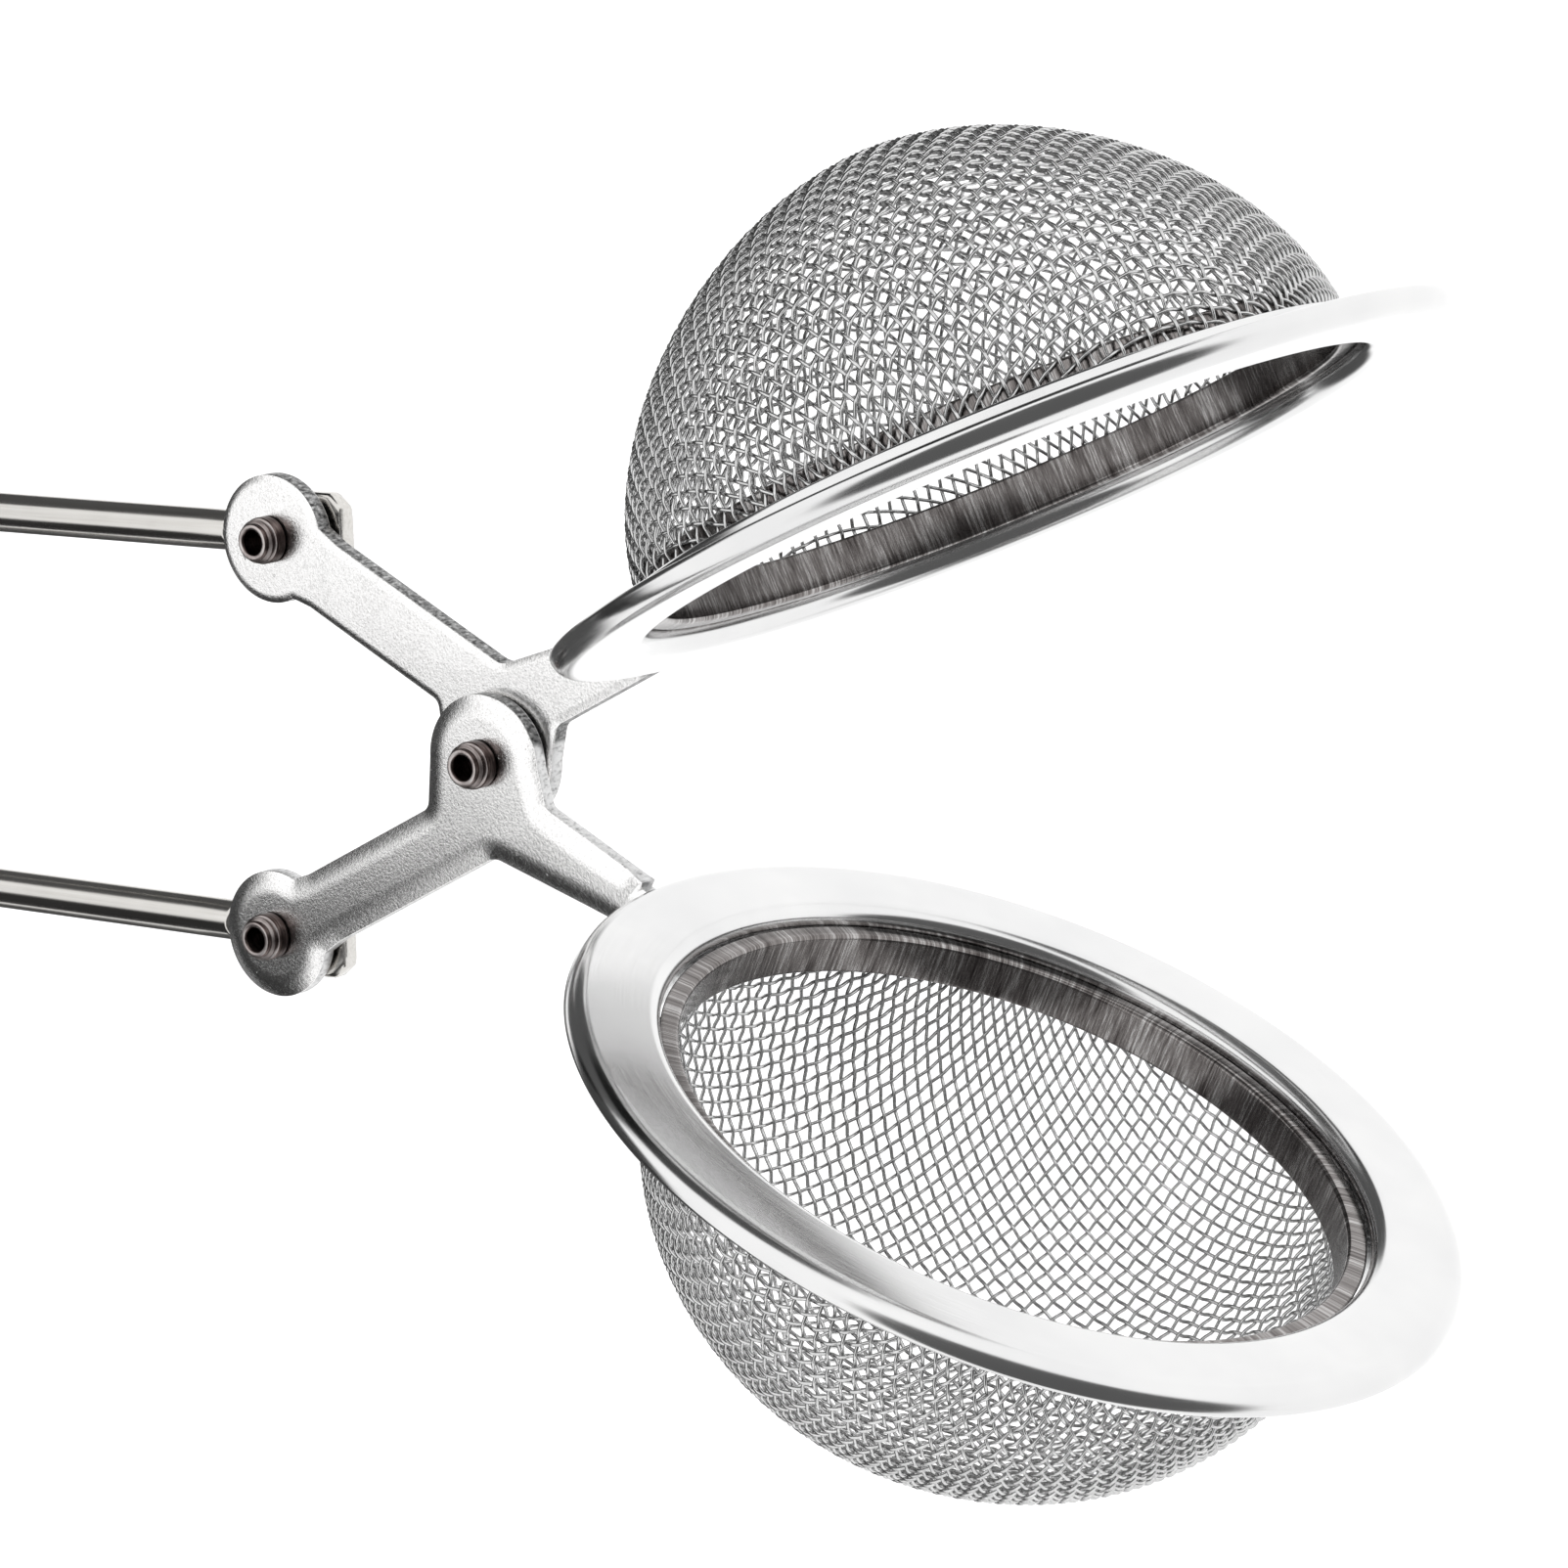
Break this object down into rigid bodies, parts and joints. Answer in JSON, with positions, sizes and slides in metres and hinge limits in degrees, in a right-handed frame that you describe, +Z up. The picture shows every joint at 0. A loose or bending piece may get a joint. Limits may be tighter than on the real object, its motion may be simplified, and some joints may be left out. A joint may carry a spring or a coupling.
{
  "type": "tea infuser",
  "caption": "Squeeze-handle tea infuser: a bent spring-wire handle works a riveted scissor linkage that opens two woven-mesh half bowls with flat steel rims.",
  "frame": {"origin": "crown of the handle's bow, on the plane midway between the two rods", "axes": "+X from the bow of the handle towards the bowls, +Z up towards the upper bowl, Y along every pivot with the rivet heads facing -Y"},
  "size_m": [0.1648, 0.0574, 0.0829],
  "materials": {
    "spring_wire": "smooth drawn stainless wire, satin gloss",
    "stamped_plate": "stamped stainless sheet, fine-grained satin faces and rough sheared edges",
    "polished_rim": "polished stainless sheet with soft rolled edges",
    "clamp_band": "darker stainless band with streaks across its height",
    "woven_wire": "plain-woven stainless wire cloth",
    "rivet": "dark brownish hollow rivet"
  },
  "bodies": {
    "lower_arm": {"lower_spring_arm": "spring_wire", "lower_eye_rivet": "rivet", "lower_eye_washer": "stamped_plate"},
    "upper_arm": {"upper_spring_arm": "spring_wire", "upper_eye_rivet": "rivet", "upper_eye_washer": "stamped_plate"},
    "lower_jaw": {"lower_link_plate": "stamped_plate", "centre_rivet": "rivet", "centre_washer": "stamped_plate", "lower_rim_flange": "polished_rim", "lower_clamp_ring": "clamp_band", "lower_mesh_bowl": "woven_wire"},
    "upper_jaw": {"upper_link_plate": "stamped_plate", "upper_rim_flange": "polished_rim", "upper_clamp_ring": "clamp_band", "upper_mesh_bowl": "woven_wire"}
  },
  "joints": [
    {"name": "handle_squeeze", "type": "hinge", "parent": "lower_arm", "child": "upper_arm", "pos_m": [0, 0.00035, 0], "axis": [0, 1, 0], "range_deg": [-9.5, 2]},
    {"name": "lower_jaw_pivot", "type": "hinge", "parent": "lower_arm", "child": "lower_jaw", "pos_m": [0.08, -0.0022, -0.01315], "axis": [0, 1, 0], "range_deg": [-29.8, 6.3]},
    {"name": "upper_jaw_pivot", "type": "hinge", "parent": "upper_arm", "child": "upper_jaw", "pos_m": [0.08, -0.0005, 0.01315], "axis": [0, 1, 0], "range_deg": [-6.3, 29.8]}
  ],
  "couplings": [
    {"joint": "lower_jaw_pivot", "follows": "handle_squeeze", "ratio": 3.1288},
    {"joint": "upper_jaw_pivot", "follows": "handle_squeeze", "ratio": -3.1288}
  ]
}
